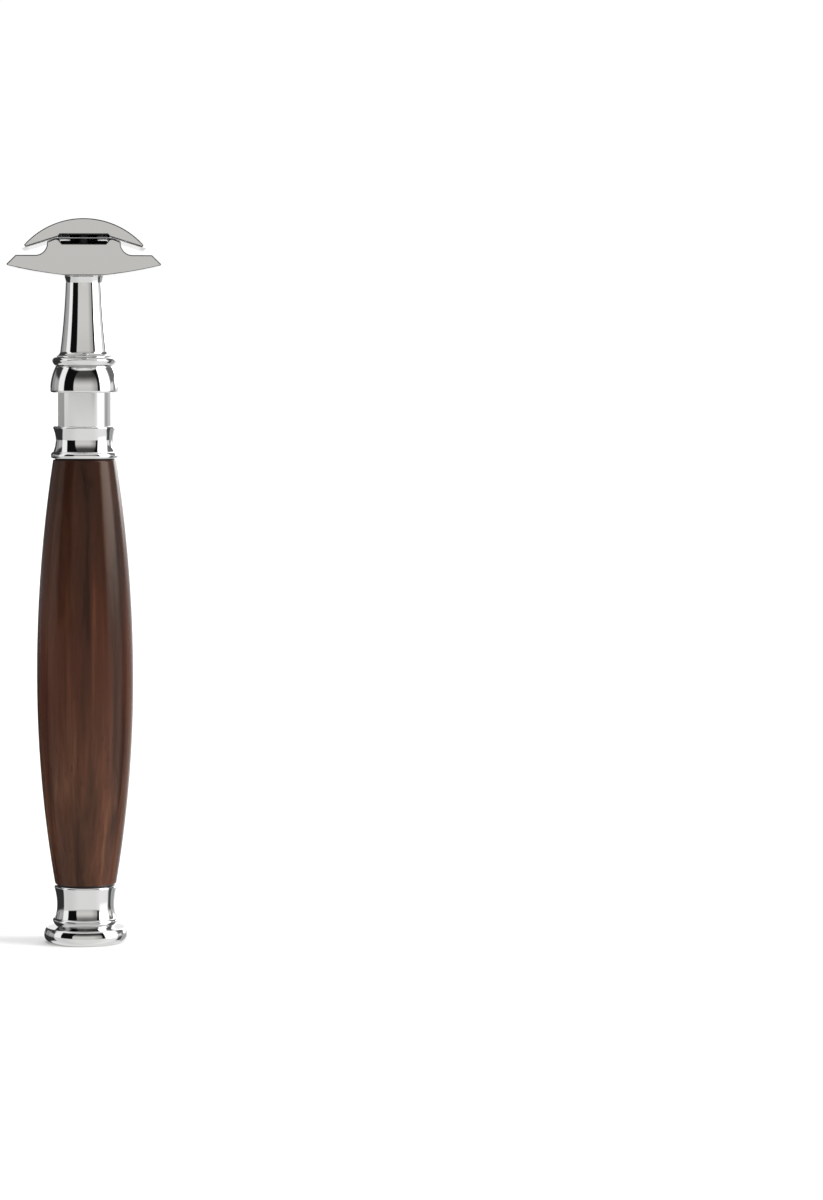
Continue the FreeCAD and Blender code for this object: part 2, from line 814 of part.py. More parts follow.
def make_blade():
    """Double-edge blade, bent over the base plate's ridges as the cap clamps it."""
    thick = s.blade_thickness
    sine = s.clamp_slope / slope_length
    cosine = size_of(1) / slope_length
    vertex = s.ridge_half
    flat_z = wing_z(vertex, blade_lift + thick)
    bend_x = vertex - s.blade_bend_radius * half_turn
    outer, inner = s.blade_bend_radius, s.blade_bend_radius - thick
    centre_z = flat_z - outer
    bend_length = s.blade_bend_radius * math.atan(s.clamp_slope.value)
    straight = s.blade_width / 2 - bend_x - bend_length
    top_bend = (bend_x + outer * sine, centre_z + outer * cosine)
    low_bend = (bend_x + inner * sine, centre_z + inner * cosine)
    ground = straight - s.blade_ground_width
    tip_x = (top_bend[0] + low_bend[0]) / 2 + straight * cosine
    tip_z = (top_bend[1] + low_bend[1]) / 2 - straight * sine
    right = [
        to(bend_x, flat_z - thick),
        arc_to(*low_bend, inner, "right"),
        to(low_bend[0] + ground * cosine, low_bend[1] - ground * sine),
        to(tip_x, tip_z - 0.008),
        to(tip_x, tip_z + 0.008),
        to(top_bend[0] + ground * cosine, top_bend[1] - ground * sine),
        to(*top_bend),
        arc_to(bend_x, flat_z, outer, "left"),
    ]
    body = extruded("razor_blade", head_z, right + mirrored(right), s.blade_length)
    shoulder, tab = s.blade_edge_length / 2, s.blade_tab_width / 2
    far_x, far_y = s.blade_width / 2 + 1, s.blade_length / 2 + 1

    def draw_notches(sketch):
        for x_side in (1, -1):
            for y_side in (1, -1):
                add_outline(sketch, [
                    to(tab * x_side, shoulder * y_side),
                    to(far_x * x_side, shoulder * y_side),
                    to(far_x * x_side, far_y * y_side),
                    to(tab * x_side, far_y * y_side),
                ])

    cut_through(body, "blade_corners", draw_notches)
    half = s.blade_slot_width / 2
    end = s.blade_slot_half - half
    cut_through(body, "blade_slot", lambda sketch: add_outline(sketch, [
        arc_to(half, -end, half * 1.0001, "left"), to(half, end),
        arc_to(-half, end, half * 1.0001, "left"), to(-half, -end),
    ]))
    cut_through(body, "blade_stud_hole", lambda sketch: add_circle(
        sketch, ZERO, ZERO, s.thread_major_radius + s.stud_gap * 2))
    for name, y in zip(("blade_post_hole", "blade_far_post_hole"), post_centres()):
        cut_through(body, name, lambda sketch: add_circle(sketch, ZERO, y, s.post_radius + s.post_gap))


# ---- cap ------------------------------------------------------------------------------------------------

cap_lift = blade_lift + s.blade_thickness + s.blade_gap
cap_recess_x = s.cap_recess_half + s.cap_recess_run
recess_z = wing_z(cap_recess_x, cap_lift) + s.cap_recess_rise


def make_cap():
    """Crescent cap with a shallow recess over the blade."""
    inner_tip = s.cap_half - s.cap_edge_run
    edge_z = wing_z(inner_tip, cap_lift)
    right = [
        to(s.cap_recess_half, recess_z),
        to(cap_recess_x, wing_z(cap_recess_x, cap_lift)),
        to(inner_tip, edge_z),
        to(s.cap_half, edge_z + s.cap_edge_height / 2),
        to(s.cap_half - s.cap_edge_run, edge_z + s.cap_edge_height),
    ]
    left = mirrored(right)
    left[0] = arc_to(left[0][0], left[0][1], s.cap_crown_radius, "left")
    body = extruded("cap_plate", head_z, right + left, s.head_length)
    round_head_ends(body, "cap_ends")
    cut_blind(body, "cap_stud_seat", lambda sketch: add_circle(
        sketch, ZERO, ZERO, s.thread_major_radius + s.fit_gap), recess_z, s.stud_seat_depth)

    def draw_seats(sketch):
        for y in post_centres():
            add_circle(sketch, ZERO, y, s.post_radius + s.fit_gap)

    cut_blind(body, "cap_post_seats", draw_seats, recess_z, s.post_seat_depth)


def make_stud():
    """Threaded stud, pressed into the cap."""
    tip_z = -(engaged_length + s.mouth_chamfer / 2)
    length = recess_z - tip_z + s.stud_seat_depth
    chamfer = 0.45
    start_z = head_z + tip_z
    body = turned("cap_stud", start_z, [
        to(ZERO, 0),
        to(s.thread_major_radius - chamfer, 0),
        to(s.thread_major_radius, chamfer),
        to(s.thread_major_radius, length - 0.2),
        to(s.thread_major_radius - 0.2, length),
        to(ZERO, length),
    ])
    # the groove lies half a pitch from the neck's groove, so that each ridge runs in the other's groove
    neck_groove_z = -neck_thread_length
    turns_down = math.ceil((neck_groove_z.value - tip_z.value) / s.thread_pitch.value) + 1
    phase = neck_groove_z - tip_z - s.thread_pitch * (turns_down - 0.5)
    mouth = s.thread_pitch - s.thread_crest
    floor = mouth - s.thread_depth * FLANK
    overlap = 0.15
    outside = mouth + overlap * FLANK
    thread_groove(body, "stud_thread", [
        to(thread_minor_radius, -floor / 2),
        to(s.thread_major_radius + overlap, -outside / 2),
        to(s.thread_major_radius + overlap, outside / 2),
        to(thread_minor_radius, floor / 2),
    ], phase, s.stud_thread_length - phase)


def make_posts():
    """Two locating posts, pressed into the cap, that place the blade and the base plate."""
    chamfer = 0.35
    end_z = s.post_end_gap
    length = recess_z + s.post_seat_depth - end_z
    posts = []
    for side, y in zip(("near", "far"), post_centres()):
        post = doc.addObject("Part::Cylinder", f"post_{side}")
        post.setExpression("Radius", s.post_radius.formula)
        post.setExpression("Height", length.formula)
        post.setExpression("Placement.Base.y", y.formula)
        post.setExpression("Placement.Base.z", (head_z + end_z).formula)
        doc.recompute()
        rounded = doc.addObject("Part::Chamfer", f"post_{side}_end")
        rounded.Base = post
        rounded.Edges = [
            (n, chamfer, chamfer) for n, edge in enumerate(post.Shape.Edges, start=1)
            if edge.BoundBox.ZLength < 1e-6 and edge.BoundBox.ZMax < (head_z + end_z).value + 1e-3
        ]
        posts.append(rounded)
    both = doc.addObject("Part::Compound", "cap_posts")
    both.Label = "cap_posts"
    both.Links = posts


PARTS = [
    "foot_knob", "foot_bead", "end_ferrule", "lock_nut", "spring_washer", "tie_rod", "lower_seal",
    "wood_grip", "grip_liner", "upper_seal", "grip_ring", "neck_spool", "hanger_sleeve", "neck_bell",
    "neck_bead", "neck_column", "base_plate", "razor_blade", "cap_plate", "cap_stud", "cap_posts",
]

for make in (
    make_foot_knob, make_foot_bead, make_ferrule, make_nut, make_spring_washer, make_tie_rod, make_grip,
    make_liner, make_seals, make_grip_ring, make_spool, make_hanger_sleeve, make_bell, make_neck_bead,
    make_neck, make_base_plate, make_blade, make_cap, make_stud, make_posts,
):
    make()
doc.recompute()

failed = [o.Name for o in doc.Objects if {"Invalid", "Error"} & set(o.State)]
if failed:
    raise RuntimeError(f"these objects failed: {failed}")
os.makedirs("parts", exist_ok=True)
for label in PARTS:
    shape = doc.getObjectsByLabel(label)[0].Shape
    if shape.isNull() or not shape.isValid() or shape.Volume <= 0:
        raise RuntimeError(f"{label} is not a valid solid")
    shape.exportStep(f"parts/{label}.step")
    box = shape.optimalBoundingBox()
    solids = len(shape.Solids)
    print(f"{label:14s} {solids} solid {shape.Volume:9.2f} mm3, z {box.ZMin:.2f} to {box.ZMax:.2f}")
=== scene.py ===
import math
from typing import NamedTuple

import bpy
from mathutils import Euler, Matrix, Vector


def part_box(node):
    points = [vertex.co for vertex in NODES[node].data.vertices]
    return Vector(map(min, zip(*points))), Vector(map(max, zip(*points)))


bl_info = {
    "name": "Wooden Safety Razor",
    "version": (1, 0, 0),
    "blender": (4, 5, 0),
    "location": "View3D > Sidebar > Razor",
    "description": "Finishes a double-edge safety razor with a lacquered wood grip and plated metal parts",
    "category": "Object",
}

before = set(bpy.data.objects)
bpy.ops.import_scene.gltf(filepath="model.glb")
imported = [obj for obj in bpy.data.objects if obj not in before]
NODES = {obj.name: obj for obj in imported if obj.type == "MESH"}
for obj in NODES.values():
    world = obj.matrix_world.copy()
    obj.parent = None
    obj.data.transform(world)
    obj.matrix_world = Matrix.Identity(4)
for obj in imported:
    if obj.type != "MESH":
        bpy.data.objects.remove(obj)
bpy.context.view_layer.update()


# ---- node helpers ---------------------------------------------------------------------------------------


class Nodes:
    """A node tree, built one call per node."""

    def __init__(self, tree):
        self.tree = tree
        tree.nodes.clear()

    def add(self, kind, **settings):
        node = self.tree.nodes.new(kind)
        for key, value in settings.items():
            setattr(node, key, value)
        return node

    def link(self, source, target):
        self.tree.links.new(source, target)

    def fill(self, socket, value):
        """Links a socket, or sets a plain number or colour."""
        if isinstance(value, bpy.types.NodeSocket):
            self.link(value, socket)
        elif isinstance(value, tuple):
            socket.default_value = (*value[:3], 1.0)
        else:
            socket.default_value = value

    def math(self, operation, first, second=0.0):
        node = self.add("ShaderNodeMath", operation=operation)
        self.fill(node.inputs[0], first)
        self.fill(node.inputs[1], second)
        return node.outputs[0]

    def times(self, first, second):
        return self.math("MULTIPLY", first, second)

    def step(self, value, start, end, low=0.0, high=1.0):
        """A smooth step from low at start to high at end."""
        node = self.add("ShaderNodeMapRange", interpolation_type="SMOOTHSTEP")
        self.link(value, node.inputs["Value"])
        node.inputs["From Min"].default_value = start
        node.inputs["From Max"].default_value = end
        node.inputs["To Min"].default_value = low
        node.inputs["To Max"].default_value = high
        return node.outputs["Result"]

    def window(self, value, low, high, soft):
        """1 between low and high with soft edges, 0 outside; a None edge is left open."""
        result = None
        if low is not None:
            result = self.step(value, low - soft, low + soft)
        if high is not None:
            fall = self.step(value, high - soft, high + soft, 1.0, 0.0)
            result = fall if result is None else self.times(result, fall)
        return result

    def mix(self, factor, first, second, blend="MIX"):
        node = self.add("ShaderNodeMix", data_type="RGBA", blend_type=blend)
        self.fill(node.inputs["Factor"], factor)
        self.fill(node.inputs["A"], first)
        self.fill(node.inputs["B"], second)
        return node.outputs["Result"]

    def axes(self, vector):
        node = self.add("ShaderNodeSeparateXYZ")
        self.link(vector, node.inputs[0])
        return node.outputs["X"], node.outputs["Y"], node.outputs["Z"]


class Finish(Nodes):
    """A material with one Principled surface."""

    def __init__(self, name):
        self.material = bpy.data.materials.new(name)
        self.material.use_nodes = True
        super().__init__(self.material.node_tree)
        output = self.add("ShaderNodeOutputMaterial")
        self.surface = self.add("ShaderNodeBsdfPrincipled")
        self.link(self.surface.outputs["BSDF"], output.inputs["Surface"])

    def set(self, **values):
        """Sets or links sockets of the surface, named with underscores for spaces."""
        for name, value in values.items():
            self.fill(self.surface.inputs[name.replace("_", " ")], value)

    def place(self, scale=(1.0, 1.0, 1.0), shift=(0.0, 0.0, 0.0)):
        """The piece's own coordinates in metres, scaled and shifted."""
        where = self.add("ShaderNodeTexCoord")
        mapping = self.add("ShaderNodeMapping")
        mapping.inputs["Scale"].default_value = scale
        mapping.inputs["Location"].default_value = shift
        self.link(where.outputs["Object"], mapping.inputs["Vector"])
        return mapping.outputs["Vector"]

    def noise(self, vector, scale, detail=4.0, roughness=0.5, distortion=0.0):
        node = self.add("ShaderNodeTexNoise")
        self.link(vector, node.inputs["Vector"])
        node.inputs["Scale"].default_value = scale
        node.inputs["Detail"].default_value = detail
        node.inputs["Roughness"].default_value = roughness
        node.inputs["Distortion"].default_value = distortion
        return node.outputs["Fac"]

    def ramp(self, factor, stops):
        """A smooth colour ramp: stops are (position, colour)."""
        node = self.add("ShaderNodeValToRGB")
        node.color_ramp.interpolation = "EASE"
        elements = node.color_ramp.elements
        while len(elements) < len(stops):
            elements.new(0.5)
        for element, (position, colour) in zip(elements, stops):
            element.position = position
            element.color = (*colour[:3], 1.0)
        self.link(factor, node.inputs["Fac"])
        return node.outputs["Color"]

    def relief(self, height, depth, strength=1.0):
        """Bump of this depth in metres."""
        node = self.add("ShaderNodeBump")
        node.inputs["Strength"].default_value = strength
        node.inputs["Distance"].default_value = depth
        self.link(height, node.inputs["Height"])
        self.link(node.outputs["Normal"], self.surface.inputs["Normal"])


def paint(names, *materials):
    """Gives these CAD nodes the materials, in slot order."""
    for name in names:
        NODES[name].data.materials.clear()
        for material in materials:
            NODES[name].data.materials.append(material)


# ---- materials ------------------------------------------------------------------------------------------


def polished_chrome(colour, roughness):
    """Mirror chrome: the casting's faint waviness under it, hairline polishing marks and soft smudges."""
    shade = Finish("polished_chrome")
    marks = shade.noise(shade.place((1.0, 1.0, 40.0)), 700.0, 3.0, 0.6)
    smudge = shade.noise(shade.place(), 140.0, 4.0, 0.55)
    haze = shade.step(shade.times(marks, smudge), 0.1, 0.45, roughness * 0.4, roughness * 2.0)
    shade.set(Metallic=1.0, Base_Color=tuple(colour), Roughness=haze)
    shade.relief(shade.noise(shade.place((1.0, 1.0, 0.6)), 260.0, 1.0, 0.4), 1.2e-6)
    return shade.material


def painted_dark_chrome(colour, name):
    """Dark satin plating: painted shade in the hollow between the plates, painted dark reflection on the
    rims.
    """
    shade = Finish(name)
    cast = shade.noise(shade.place(), 900.0, 5.0, 0.6)
    tone = shade.mix(shade.step(cast, 0.35, 0.65), tuple(0.8 * c for c in colour), tuple(colour))
    shade.set(Metallic=1.0, Base_Color=tone, Roughness=shade.step(cast, 0.2, 0.8, 0.28, 0.5))
    shade.relief(cast, 6.0e-6)
    return shade.material


def shade_dark_steel(colour):
    """Steel of the posts and the stud, painted near black as shade deep in the head's hollow, with turning
    marks.
    """
    shade = Finish("shade_dark_steel")
    marks = shade.noise(shade.place((1.0, 1.0, 60.0)), 400.0, 3.0, 0.6)
    tone = shade.mix(shade.step(marks, 0.3, 0.7), tuple(0.6 * c for c in colour), tuple(colour))
    shade.set(Metallic=1.0, Base_Color=tone, Roughness=shade.step(marks, 0.2, 0.8, 0.3, 0.5))
    shade.relief(marks, 4.0e-6)
    return shade.material


def blade_steel(colour, edge_colour, bevel_start):
    """Bright strip steel, faintly marked by rolling, with paler ground bevels along both edges."""
    shade = Finish("blade_steel")
    across, _, _ = shade.axes(shade.place())
    bevel = shade.step(shade.math("ABSOLUTE", across), bevel_start, bevel_start + 0.0001)
    rolled = shade.noise(shade.place((1.0, 0.03, 1.0)), 2600.0, 3.0, 0.6)
    ground = shade.noise(shade.place((0.1, 1.0, 0.1)), 5200.0, 2.0, 0.7)
    plain = shade.mix(shade.step(rolled, 0.3, 0.7), tuple(0.75 * c for c in colour), tuple(colour))
    shade.set(Metallic=1.0, Base_Color=shade.mix(bevel, plain, tuple(edge_colour)),
              Roughness=shade.step(bevel, 0.0, 1.0, 0.08, 0.14))
    shade.relief(shade.mix(bevel, rolled, ground), 4.0e-7)
    return shade.material


def zinc_plate(colour):
    """Bright zinc on the hidden fasteners: pale, slightly blue and cloudy."""
    shade = Finish("zinc_plate")
    cloud = shade.noise(shade.place(), 420.0, 4.0, 0.6)
    tone = shade.mix(shade.step(cloud, 0.3, 0.7), tuple(0.8 * c for c in colour), tuple(colour))
    shade.set(Metallic=1.0, Base_Color=tone, Roughness=shade.step(cloud, 0.2, 0.8, 0.25, 0.45))
    shade.relief(cloud, 4.0e-6)
    return shade.material


def drawn_brass(colour):
    """Brass tube with drawing marks along it."""
    shade = Finish("drawn_brass")
    marks = shade.noise(shade.place((1.0, 1.0, 0.03)), 2400.0, 3.0, 0.6)
    tone = shade.mix(shade.step(marks, 0.3, 0.7), tuple(0.8 * c for c in colour), tuple(colour))
    shade.set(Metallic=1.0, Base_Color=tone, Roughness=shade.step(marks, 0.2, 0.8, 0.2, 0.38))
    shade.relief(marks, 3.0e-6)
    return shade.material


def gap_shade_rubber(colour):
    """Moulded seal rubber, near black to also paint the shade in the gaps at the grip's ends, matt with a
    fine grain.
    """
    shade = Finish("gap_shade_rubber")
    grain = shade.noise(shade.place(), 5200.0, 3.0, 0.6)
    tone = shade.mix(shade.step(grain, 0.3, 0.7), tuple(0.7 * c for c in colour), tuple(colour))
    shade.set(Base_Color=tone, Roughness=shade.step(grain, 0.2, 0.8, 0.45, 0.65))
    shade.relief(grain, 8.0e-6)
    return shade.material


# the wood's tone at places along the grip, 0 at its top and 1 at its bottom
WOOD_TONES = [(0.05, (0.38, 0.34, 0.32)), (0.50, (0.66, 0.52, 0.50)), (0.82, (1.0, 1.0, 1.0))]


def lacquered_wood(base, red, light, dark, gloss, low, high):
    """Dark hardwood: growth layers cut lengthwise, short pores and warm streaks, under a thin clear lacquer.

    low and high are the heights of the grip's ends: the wood is darkest at the upper one.
    """
    shade = Finish("lacquered_wood")
    _, _, height = shade.axes(shade.place())
    drift = shade.noise(shade.place((1.0, 1.0, 0.16)), 120.0, 3.0, 0.55, 0.4)
    layers = shade.noise(shade.place((1.0, 1.0, 0.045), (0.004, 0.011, 0.0)), 300.0, 3.0, 0.5, 0.8)
    fibres = shade.noise(shade.place((1.0, 1.0, 0.03), (0.02, 0.03, 0.0)), 1700.0, 3.0, 0.55)
    pores = shade.noise(shade.place((1.0, 1.0, 0.12), (0.05, 0.01, 0.0)), 3300.0, 2.0, 0.5)
    body = shade.ramp(layers, [(0.30, dark), (0.44, base), (0.56, red), (0.70, light)])
    down = shade.math("DIVIDE", shade.math("SUBTRACT", high, height), high - low)
    down = shade.math("ADD", down, shade.times(shade.math("SUBTRACT", drift, 0.5), 0.35))
    body = shade.mix(1.0, body, shade.ramp(down, WOOD_TONES), "MULTIPLY")
    veined = shade.mix(shade.step(fibres, 0.3, 0.7, 0.4, 0.0), body, dark)
    specked = shade.mix(shade.step(pores, 0.62, 0.74, 0.0, 0.5), veined, dark)
    shade.set(Base_Color=specked, Roughness=0.2, Specular_IOR_Level=0.12, Specular_Tint=(1.0, 0.72, 0.52),
              Coat_Weight=gloss, Coat_Roughness=0.06, Coat_IOR=1.5)
    return shade.material


# ---- settings -------------------------------------------------------------------------------------------


class RazorFinish(bpy.types.PropertyGroup):
    """Colours and finishes a user would change."""

    chrome_colour: bpy.props.FloatVectorProperty(
        name="Chrome", description="Reflection colour of the plating", subtype="COLOR",
        default=(0.69, 0.69, 0.685), min=0.0, max=1.0)
    chrome_roughness: bpy.props.FloatProperty(
        name="Chrome roughness", description="How far the plating is from a perfect mirror",
        default=0.03, min=0.0, max=1.0)
    # the hollow's near-black plating, its heights and width: painted shade between the head's plates
    hollow_shade_colour: bpy.props.FloatVectorProperty(
        name="Shaded chrome", description="Colour of the plating inside the head", subtype="COLOR",
        default=(0.045, 0.045, 0.045), min=0.0, max=1.0)
    hollow_low: bpy.props.FloatProperty(
        name="Hollow, bottom", description="Lowest shaded face above the base plate's underside",
        default=0.0053, unit="LENGTH")
    hollow_high: bpy.props.FloatProperty(
        name="Hollow, top", description="Highest shaded face above the base plate's underside",
        default=0.0072, unit="LENGTH")
    hollow_half: bpy.props.FloatProperty(
        name="Hollow, half width", description="How far the shaded faces reach each side of the middle",
        default=0.0052, min=0.0, unit="LENGTH")
    # the rims' dark colour is a painted reflection of the dark studio round the head
    rim_reflection_colour: bpy.props.FloatVectorProperty(
        name="Rims", description="Colour of the rounded rims of the head's end faces", subtype="COLOR",
        default=(0.10, 0.10, 0.102), min=0.0, max=1.0)
    rim_round: bpy.props.FloatProperty(
        name="Rim width", description="Depth of the rounded rims of the head's end faces",
        default=0.0002, min=0.0, unit="LENGTH")
    # the posts' and stud's near-black colour is painted shade from the head's hollow
    stud_shade_colour: bpy.props.FloatVectorProperty(
        name="Stud and posts", description="Colour of the shadowed steel", subtype="COLOR",
        default=(0.06, 0.06, 0.062), min=0.0, max=1.0)
    blade_colour: bpy.props.FloatVectorProperty(
        name="Blade", description="Colour of the blade's faces", subtype="COLOR",
        default=(0.60, 0.605, 0.615), min=0.0, max=1.0)
    blade_edge_colour: bpy.props.FloatVectorProperty(
        name="Blade edge", description="Colour of the ground bevels", subtype="COLOR",
        default=(0.72, 0.73, 0.74), min=0.0, max=1.0)
    blade_bevel: bpy.props.FloatProperty(
        name="Blade bevel", description="Width of the ground bevel along each edge",
        default=0.0009, min=0.0, unit="LENGTH")
    zinc_colour: bpy.props.FloatVectorProperty(
        name="Fasteners", description="Colour of the zinc plating", subtype="COLOR",
        default=(0.55, 0.57, 0.60), min=0.0, max=1.0)
    brass_colour: bpy.props.FloatVectorProperty(
        name="Liner", description="Colour of the brass tube", subtype="COLOR",
        default=(0.72, 0.50, 0.22), min=0.0, max=1.0)
    # the seals' near-black colour is both rubber and painted shade of the gaps at the grip's ends
    seal_shade_colour: bpy.props.FloatVectorProperty(
        name="Seals", description="Colour of the rubber seals", subtype="COLOR",
        default=(0.006, 0.005, 0.005), min=0.0, max=1.0)
    wood_base: bpy.props.FloatVectorProperty(
        name="Wood", description="Main colour of the wood", subtype="COLOR",
        default=(0.070, 0.031, 0.020), min=0.0, max=1.0)
    wood_red: bpy.props.FloatVectorProperty(
        name="Wood, red streaks", description="Colour of the redder streaks", subtype="COLOR",
        default=(0.094, 0.038, 0.023), min=0.0, max=1.0)
    wood_light: bpy.props.FloatVectorProperty(
        name="Wood, light streaks", description="Colour of the lightest streaks", subtype="COLOR",
        default=(0.130, 0.060, 0.034), min=0.0, max=1.0)
    wood_dark: bpy.props.FloatVectorProperty(
        name="Wood, dark streaks", description="Colour of the darkest streaks", subtype="COLOR",
        default=(0.030, 0.014, 0.010), min=0.0, max=1.0)
    wood_gloss: bpy.props.FloatProperty(
        name="Lacquer", description="Strength of the clear coat's reflection",
        default=0.08, min=0.0, max=1.0, subtype="FACTOR")


class RazorStage(bpy.types.PropertyGroup):
    """Camera and light."""

    lens: bpy.props.FloatProperty(
        name="Lens", description="Focal length in millimetres on a 36 mm sensor",
        default=135.0, min=20.0, max=400.0)
    distance: bpy.props.FloatProperty(
        name="Distance", description="Camera to the handle's axis", default=0.803, min=0.1, unit="LENGTH")
    eye_height: bpy.props.FloatProperty(
        name="Eye height", description="Camera above the floor", default=0.113, unit="LENGTH")
    pan: bpy.props.FloatProperty(
        name="Pan", description="Turn to the right of the handle",
        default=math.radians(4.153), unit="ROTATION")
    tilt: bpy.props.FloatProperty(
        name="Tilt", description="Turn below the horizon",
        default=math.radians(3.683), unit="ROTATION")
    roll: bpy.props.FloatProperty(
        name="Roll", description="Turn about the line of sight",
        default=math.radians(-0.1), unit="ROTATION")
    backdrop: bpy.props.FloatProperty(
        name="Backdrop", description="Brightness of the white backdrop", default=1.03, min=0.0)
    overhead: bpy.props.FloatProperty(
        name="Overhead light", description="Strength of the light above", default=1.0, min=0.0)
    floor_reach: bpy.props.FloatProperty(
        name="Floor", description="Half the floor's width", default=6.0, min=0.5, unit="LENGTH")


# ---- studio ---------------------------------------------------------------------------------------------


class Panel(NamedTuple):
    """A card, flag or softbox round the razor, in degrees.

    Azimuth runs from the camera's side, 0, to 180 behind the razor, positive on the camera's right.
    Elevation runs from the horizon. A None edge is open. edge and fade are the softness of the upright
    and level edges.
    """

    glow: object
    left: float = None
    right: float = None
    bottom: float = None
    top: float = None
    edge: float = 2.0
    fade: float = 2.0


# the room's brightness where no panel stands
WALLS = 1.0
PANELS = (
    # walls and lights behind the razor, from its back left to its back right
    Panel(0.07, left=-173, right=-140, bottom=-1, top=26),
    Panel(0.35, left=-140, right=-120, bottom=-1, top=26, edge=4),
    Panel(0.50, left=-120, right=-98, bottom=-1, top=26, edge=4),
    Panel(0.05, left=-176, right=-101, bottom=14, top=42, edge=3, fade=3),
    Panel(0.30, left=118, right=131, bottom=-1, top=26, edge=4),
    Panel(2.20, left=131, right=170, bottom=3, top=40, edge=4),
    Panel(6.00, left=134, right=168, bottom=2, top=9, edge=4, fade=2),
    Panel(0.20, left=104, right=146, bottom=9, top=42, edge=3),
    # left softbox and the black flags beside and over the camera
    Panel(1.20, left=-98, right=-74, bottom=-1, top=42, edge=1.5),
    Panel(0.006, left=-74, right=58, bottom=-1, top=42, edge=1.5),
    # right softbox: a wide pale part and a bright core
    Panel(2.2, left=58, right=95, bottom=-2, top=60, edge=5),
    Panel(9.0, left=60, right=94, bottom=4, top=50, edge=7, fade=6),
    # ceiling
    Panel(1.1, bottom=43, fade=4),
    Panel(0.75, bottom=62, fade=8),
    # table top: white in front, black behind on the left, green-grey behind on the right
    Panel((0.96, 0.965, 0.95), top=-1, fade=0.8),
    Panel(0.84, left=-98, right=-45, top=-1, edge=20, fade=0.8),
    Panel(1.10, left=50, right=98, top=-1, edge=15, fade=0.8),
    Panel(1.80, left=58, right=95, bottom=-12, top=-1, edge=5, fade=4),
    Panel(0.04, left=-175, right=-98, bottom=-32, top=-1, edge=3, fade=4),
    Panel((0.08, 0.085, 0.08), left=101, right=122, bottom=-32, top=-1, edge=4, fade=4),
    Panel((0.45, 0.47, 0.46), left=122, right=150, bottom=-32, top=-1, edge=5, fade=4),
)
# the grey card round the camera: an arch with square shoulders that darkens towards its top and its right
CARD_MIDDLE, CARD_HALF, CARD_TOP, CARD_CORNER = 4.5, 42.5, 43.0, 3.5
CARD_COLOUR = (0.83, 0.82, 0.80)


def arch(nodes, azimuth, elevation):
    """1 inside the grey card's arch, which stands on the horizon, and 0 outside."""
    across = nodes.math("DIVIDE", nodes.math("SUBTRACT", azimuth, CARD_MIDDLE), CARD_HALF)
    up = nodes.math("DIVIDE", elevation, CARD_TOP)
    across, up = (nodes.math("POWER", nodes.math("ABSOLUTE", part), CARD_CORNER) for part in (across, up))
    reach = nodes.math("POWER", nodes.math("ADD", across, up), 1.0 / CARD_CORNER)
    return nodes.times(nodes.step(reach, 0.94, 1.02, 1.0, 0.0), nodes.step(elevation, -1.5, -0.5))


def card_tone(nodes, azimuth, elevation):
    """The card's own shading: a little dark at the table, dark above and to the right."""
    low = nodes.step(elevation, -1.0, 8.0, 0.88, 1.0)
    high = nodes.step(elevation, 9.0, 30.0, 1.0, 0.09)
    right = nodes.step(azimuth, 18.0, 46.0, 1.0, 0.6)
    shade = nodes.times(nodes.times(low, high), right)
    return nodes.mix(shade, (0.0, 0.0, 0.0), CARD_COLOUR)


def studio_world(backdrop):
    """Cards and softboxes that light the razor and show in its plating, before a white backdrop."""
    world = bpy.data.worlds.new("studio")
    world.use_nodes = True
    nodes = Nodes(world.node_tree)
    direction = nodes.add("ShaderNodeTexCoord").outputs["Generated"]
    x, y, z = nodes.axes(direction)
    azimuth = nodes.math("DEGREES", nodes.math("ARCTAN2", x, nodes.times(y, -1.0)))
    elevation = nodes.math("DEGREES", nodes.math("ARCSINE", z))
    light = (WALLS, WALLS, WALLS)
    for panel in PANELS:
        glow = panel.glow if isinstance(panel.glow, tuple) else (panel.glow,) * 3
        across = nodes.window(azimuth, panel.left, panel.right, panel.edge)
        upright = nodes.window(elevation, panel.bottom, panel.top, panel.fade)
        cover = nodes.times(across, upright) if across and upright else across or upright
        light = nodes.mix(cover, light, glow)
    light = nodes.mix(arch(nodes, azimuth, elevation), light, card_tone(nodes, azimuth, elevation))
    around = nodes.add("ShaderNodeBackground")
    nodes.fill(around.inputs["Color"], light)
    behind = nodes.add("ShaderNodeBackground")
    behind.inputs["Color"].default_value = (1.0, 1.0, 1.0, 1.0)
    behind.inputs["Strength"].default_value = backdrop
    choose = nodes.add("ShaderNodeMixShader")
    nodes.link(nodes.add("ShaderNodeLightPath").outputs["Is Camera Ray"], choose.inputs["Fac"])
    nodes.link(around.outputs[0], choose.inputs[1])
    nodes.link(behind.outputs[0], choose.inputs[2])
    nodes.link(choose.outputs[0], nodes.add("ShaderNodeOutputWorld").inputs["Surface"])
    return world


def floor_paint():
    """White table paint with a faint eggshell texture."""
    shade = Finish("floor_paint")
    shade.set(Base_Color=(0.9, 0.9, 0.9), Roughness=0.8, Specular_IOR_Level=0.1)
    shade.relief(shade.noise(shade.place(), 900.0, 2.0), 2.0e-6)
    return shade.material


# ---- operators ------------------------------------------------------------------------------------------


def plating(finish):
    """The polished plating that the visible metal pieces share, made by the first piece that asks."""
    made = bpy.data.materials.get("polished_chrome")
    return made or polished_chrome(finish.chrome_colour, finish.chrome_roughness)


# the plates' flat ends lie within this depth of their furthest point along the blade
END_DEPTH = 0.0001
# a rim face's normal leans away from the blade's direction, past this cosine, and isn't turned far down
RIM_TURN, RIM_LOWEST = 0.995, -0.6


def paint_hollow_shade(name, hollow_shade, low, high, half):
    """Gives a head plate's faces between two heights and within half of its middle the painted shade of the
    hollow.

    The plate's two flat ends keep the polished plating.
    """
    mesh = NODES[name].data
    mesh.materials.append(hollow_shade)
    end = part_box(name)[1][1] - END_DEPTH
    for face in mesh.polygons:
        middle = face.center
        if low < middle.z < high and abs(middle.x) < half and abs(middle.y) < end:
            face.material_index = len(mesh.materials) - 1


